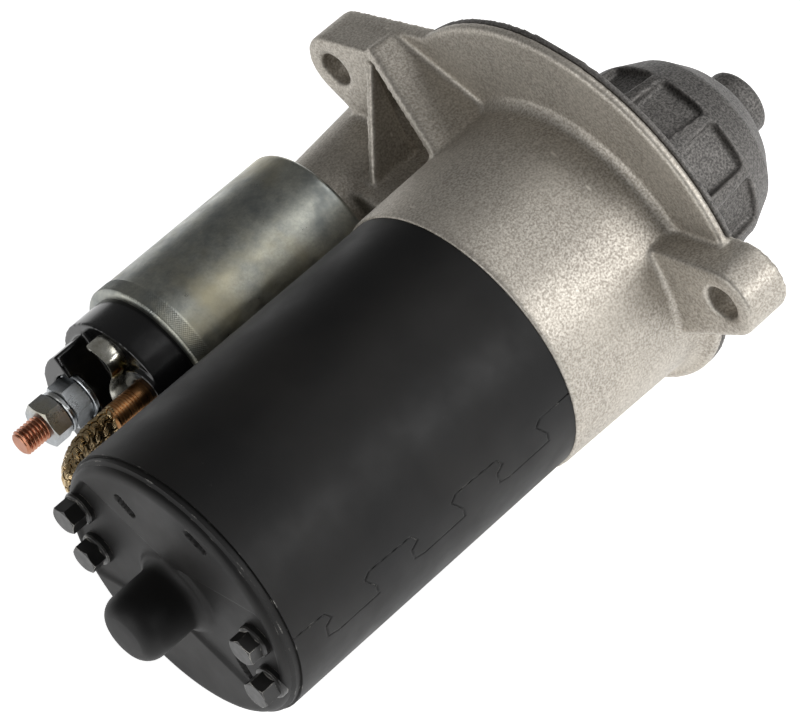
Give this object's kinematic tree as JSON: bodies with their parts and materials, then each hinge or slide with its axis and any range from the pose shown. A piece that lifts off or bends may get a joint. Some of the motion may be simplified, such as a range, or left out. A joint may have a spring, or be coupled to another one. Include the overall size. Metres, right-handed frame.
{
  "type": "starter motor",
  "caption": "Geared engine starter motor: black motor frame, cast flange housing with two ears, side solenoid with stud terminals, ribbed nose and pinion drive.",
  "frame": {"origin": "on the shaft axis in the flange's mounting face, at the root of the locating register", "axes": "+X along the shaft towards the pinion; +Y towards the solenoid, parallel to the line through both ear holes; +Z completes the right-handed frame, towards the tall side of the flange"},
  "size_m": [0.255, 0.1735, 0.1215],
  "materials": {
    "cast_aluminium": "satin",
    "dark_casting": "satin",
    "black_paint": "satin",
    "zinc_plate": "satin",
    "black_moulding": "gloss",
    "dark_plastic": "satin",
    "rubber": "matte",
    "copper": "satin",
    "brass": "satin",
    "tinned_brass": "polished",
    "bronze": "satin",
    "bright_steel": "satin",
    "dark_steel": "satin",
    "gear_steel": "satin",
    "laminated_steel": "satin",
    "ferrite": "matte",
    "carbon": "matte"
  },
  "bodies": {
    "motor_frame": {"drive_end_housing": "cast_aluminium", "nose_cone": "dark_casting", "nose_bushing": "bronze", "nose_screws": "dark_steel", "shield_plate": "bright_steel", "ring_gear": "dark_plastic", "centre_bearing_plate": "bright_steel", "centre_bushing": "bronze", "field_frame": "black_paint", "lead_grommet": "rubber", "field_magnets": "ferrite", "magnet_clips": "bright_steel", "end_cap": "black_paint", "rear_bushing": "bronze", "through_bolts": "dark_steel", "brush_plate_screws": "dark_steel", "brush_plate": "bright_steel", "brush_holders": "brass", "brushes": "carbon", "brush_springs": "bright_steel", "motor_lead": "copper", "solenoid_case": "zinc_plate", "coil_bobbin": "dark_plastic", "pull_in_winding": "copper", "hold_in_winding": "copper", "stationary_core": "bright_steel", "solenoid_cap": "black_moulding", "battery_stud": "copper", "battery_nuts": "zinc_plate", "spring_washer": "zinc_plate", "stud_washer": "zinc_plate", "motor_terminal": "copper", "spade_terminal": "tinned_brass", "solenoid_screws": "zinc_plate", "lever_pivot_pin": "bright_steel"},
    "armature": {"armature_shaft": "bright_steel", "pilot_journal": "bright_steel", "sun_gear": "gear_steel", "armature_core": "laminated_steel", "armature_windings": "copper", "commutator": "copper"},
    "output_shaft_body": {"output_shaft": "gear_steel", "planet_carrier": "gear_steel", "planet_pins": "bright_steel", "stop_collar": "gear_steel", "snap_ring": "bright_steel"},
    "planet_1": {"planet_gear_1": "gear_steel"},
    "planet_2": {"planet_gear_2": "gear_steel"},
    "planet_3": {"planet_gear_3": "gear_steel"},
    "drive": {"clutch_sleeve": "gear_steel", "clutch_shell": "gear_steel", "clutch_cover": "bright_steel", "clutch_rollers": "bright_steel", "drive_collar": "dark_plastic"},
    "pinion": {"drive_pinion": "gear_steel"},
    "lever": {"shift_lever": "dark_plastic"},
    "plunger_body": {"plunger": "bright_steel", "contact_rod": "brass", "contact_disc": "copper", "return_spring": "bright_steel"}
  },
  "joints": [
    {"name": "armature_spin", "type": "hinge", "parent": "motor_frame", "child": "armature", "pos_m": [-0.105, 0, 0], "axis": [1, 0, 0], "continuous": true},
    {"name": "output_spin", "type": "hinge", "parent": "motor_frame", "child": "output_shaft_body", "pos_m": [0, 0, 0], "axis": [1, 0, 0], "continuous": true},
    {"name": "planet_1_spin", "type": "hinge", "parent": "output_shaft_body", "child": "planet_1", "pos_m": [-0.0507, 0.018, 0], "axis": [1, 0, 0], "continuous": true},
    {"name": "planet_2_spin", "type": "hinge", "parent": "output_shaft_body", "child": "planet_2", "pos_m": [-0.0507, -0.009, 0.01559], "axis": [1, 0, 0], "continuous": true},
    {"name": "planet_3_spin", "type": "hinge", "parent": "output_shaft_body", "child": "planet_3", "pos_m": [-0.0507, -0.009, -0.01559], "axis": [1, 0, 0], "continuous": true},
    {"name": "plunger_slide", "type": "slide", "parent": "motor_frame", "child": "plunger_body", "axis": [-1, 0, 0], "range_m": [0, 0.009], "stiffness_N_per_m": 1500, "springref_m": -0.02, "deforming": ["return_spring"]},
    {"name": "lever_swing", "type": "hinge", "parent": "motor_frame", "child": "lever", "pos_m": [-0.0175, 0.04494, -0.0071], "axis": [0, 0.156, 0.9878], "range_deg": [0, 18.7]},
    {"name": "drive_slide", "type": "slide", "parent": "output_shaft_body", "child": "drive", "axis": [1, 0, 0], "range_m": [0, 0.01485]},
    {"name": "pinion_overrun", "type": "hinge", "parent": "drive", "child": "pinion", "pos_m": [0.01725, 0, 0], "axis": [1, 0, 0], "continuous": true}
  ],
  "couplings": [
    {"joint": "output_spin", "follows": "armature_spin", "ratio": 0.25},
    {"joint": "planet_1_spin", "follows": "armature_spin", "ratio": -0.75},
    {"joint": "planet_2_spin", "follows": "armature_spin", "ratio": -0.75},
    {"joint": "planet_3_spin", "follows": "armature_spin", "ratio": -0.75},
    {"joint": "lever_swing", "follows": "plunger_slide", "rad_per_m": 36.239},
    {"joint": "drive_slide", "follows": "plunger_slide", "ratio": 1.6489}
  ]
}
